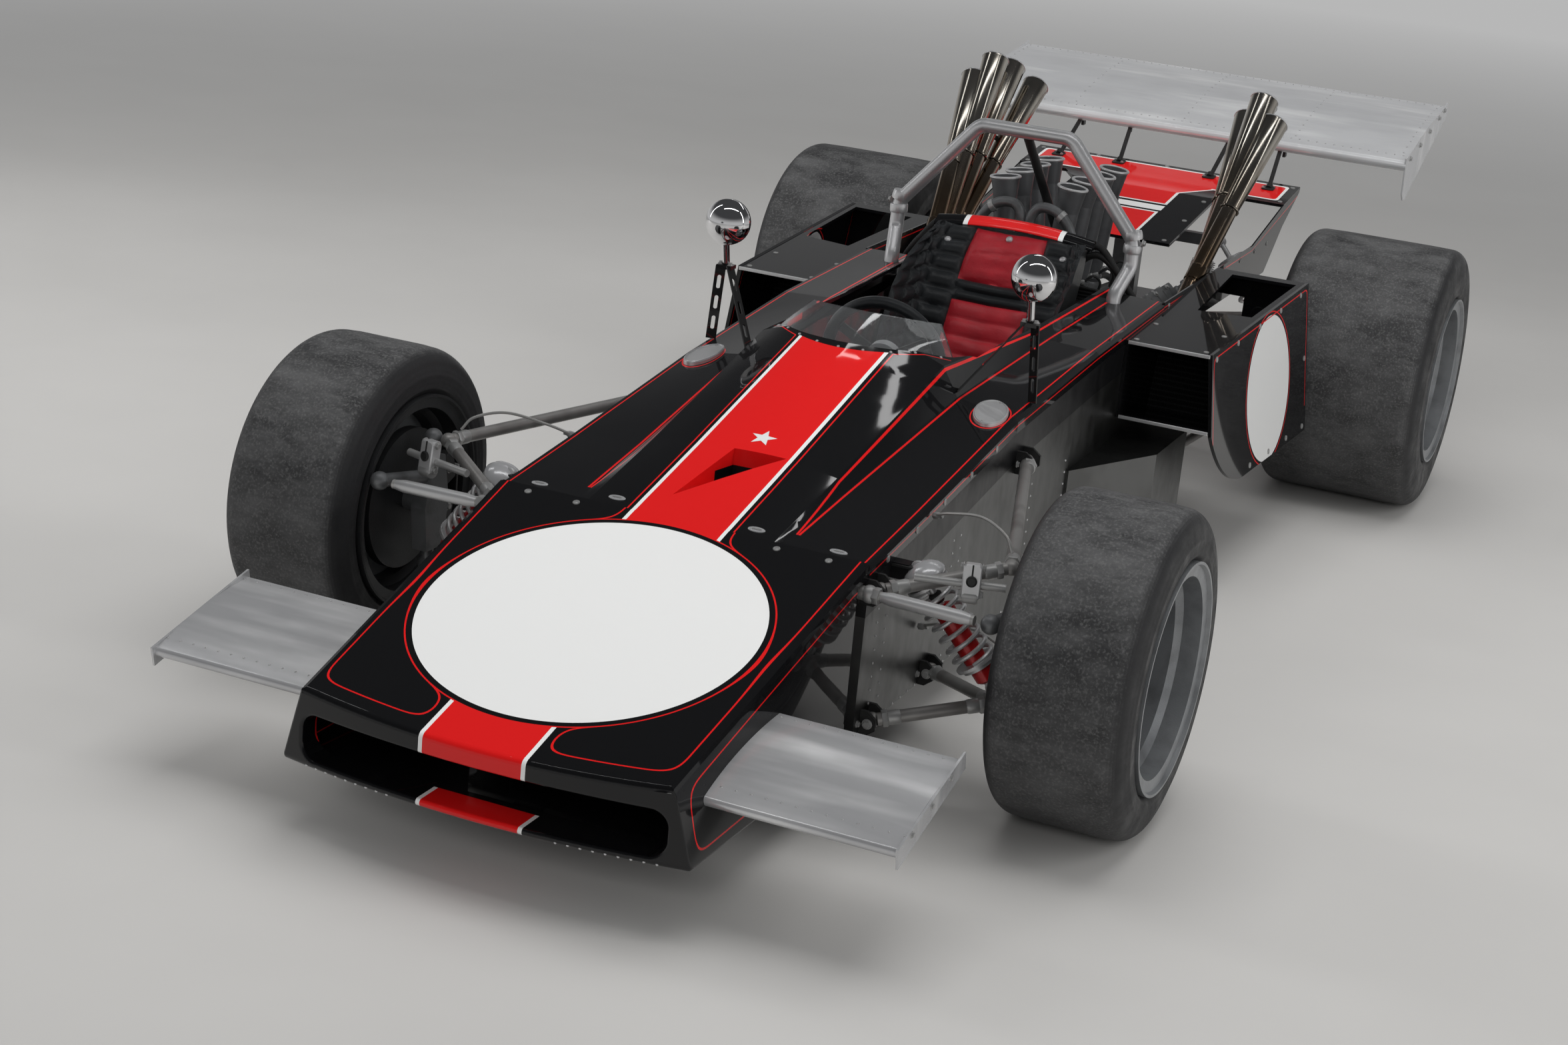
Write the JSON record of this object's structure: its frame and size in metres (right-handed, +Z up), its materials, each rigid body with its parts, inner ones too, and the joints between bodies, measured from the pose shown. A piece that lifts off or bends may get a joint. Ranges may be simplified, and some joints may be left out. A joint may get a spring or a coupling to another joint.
{
  "type": "open wheel single-seat racing car",
  "caption": "Single-seat open wheel racing car with wedge nose, hip radiator pods, open rear engine, tall upswept exhausts and polished wings.",
  "frame": {"origin": "on the ground under the middle of the car's length and width", "axes": "+X to the car's left, nose towards -Y, +Z up"},
  "size_m": [1.823, 4.3649, 1.0003],
  "materials": {
    "black_paint": "gloss black paint with red, white and red-lined bands",
    "clear_screen": "clear acrylic sheet",
    "seat_vinyl": "quilted black upholstery with a red centre band",
    "bare_aluminium": "bare sheet",
    "polished_aluminium": "polished sheet",
    "wheel_leather": "stitched",
    "bright_steel": "plated tube",
    "spring_steel": "plated spring with a red damper body",
    "chrome": "polished",
    "mirror_chrome": "polished head on black drilled legs",
    "black_steel": "satin black",
    "cast_grey": "cast, satin",
    "stack_grey": "satin with bright lips",
    "exhaust_steel": "heat-tinted polished steel",
    "radiator_black": "matt black core",
    "wheel_grey": "satin grey",
    "tyre": "worn slick"
  },
  "bodies": {
    "root": {"cockpit_cowl": "black_paint", "cylinder_heads": "cast_grey", "dashboard": "bare_aluminium", "drive_shafts": "bright_steel", "engine_block": "cast_grey", "engine_side_panels": "black_paint", "exhaust_left": "exhaust_steel", "exhaust_right": "exhaust_steel", "front_coilovers": "spring_steel", "front_wing_left": "polished_aluminium", "front_wing_right": "polished_aluminium", "front_wishbones": "bright_steel", "gearbox": "cast_grey", "hoop_brace": "black_steel", "intake_manifold": "cast_grey", "intake_stacks": "stack_grey", "mirror_left": "mirror_chrome", "mirror_right": "mirror_chrome", "nose_cowl": "black_paint", "oval_covers": "bare_aluminium", "radiators": "radiator_black", "rear_coilovers": "spring_steel", "rear_links": "bright_steel", "rear_uprights": "cast_grey", "rear_wing": "polished_aluminium", "roll_hoop": "chrome", "seat": "seat_vinyl", "side_pod_left": "black_paint", "side_pod_right": "black_paint", "tail_panel": "black_paint", "tub": "black_paint", "windscreen": "clear_screen", "wing_mount": "black_steel"},
    "steering_rack": {"steering_rack": "bright_steel"},
    "knuckle_left": {"knuckle_left": "cast_grey"},
    "knuckle_right": {"knuckle_right": "cast_grey"},
    "steering_wheel": {"steering_wheel": "wheel_leather"},
    "wheel_front_left": {"wheel_front_left": "wheel_grey", "tyre_front_left": "tyre"},
    "wheel_front_right": {"wheel_front_right": "wheel_grey", "tyre_front_right": "tyre"},
    "wheel_rear_left": {"wheel_rear_left": "wheel_grey", "tyre_rear_left": "tyre"},
    "wheel_rear_right": {"wheel_rear_right": "wheel_grey", "tyre_rear_right": "tyre"}
  },
  "joints": [
    {"name": "steer_left", "type": "hinge", "parent": "root", "child": "knuckle_left", "pos_m": [0.61, -1.303, 0.3], "axis": [0, 0, 1], "range_deg": [-20, 20]},
    {"name": "steer_right", "type": "hinge", "parent": "root", "child": "knuckle_right", "pos_m": [-0.61, -1.303, 0.3], "axis": [0, 0, 1], "range_deg": [-20, 20]},
    {"name": "rack_slide", "type": "slide", "parent": "root", "child": "steering_rack", "axis": [1, 0, 0], "range_m": [-0.067, 0.067]},
    {"name": "steer_wheel", "type": "hinge", "parent": "root", "child": "steering_wheel", "pos_m": [0, -0.52, 0.545], "axis": [0, 0.9836, 0.1803], "range_deg": [-200, 200]},
    {"name": "spin_front_left", "type": "hinge", "parent": "knuckle_left", "child": "wheel_front_left", "pos_m": [0.766, -1.303, 0.3], "axis": [1, 0, 0], "continuous": true},
    {"name": "spin_front_right", "type": "hinge", "parent": "knuckle_right", "child": "wheel_front_right", "pos_m": [-0.766, -1.303, 0.3], "axis": [1, 0, 0], "continuous": true},
    {"name": "spin_rear_left", "type": "hinge", "parent": "root", "child": "wheel_rear_left", "pos_m": [0.7075, 1.145, 0.334], "axis": [1, 0, 0], "continuous": true},
    {"name": "spin_rear_right", "type": "hinge", "parent": "root", "child": "wheel_rear_right", "pos_m": [-0.7075, 1.145, 0.334], "axis": [1, 0, 0], "continuous": true}
  ],
  "couplings": [
    {"joint": "steer_right", "follows": "steer_left", "ratio": 1},
    {"joint": "rack_slide", "follows": "steer_left", "m_per_rad": 0.189},
    {"joint": "steer_wheel", "follows": "steer_left", "ratio": 10}
  ]
}
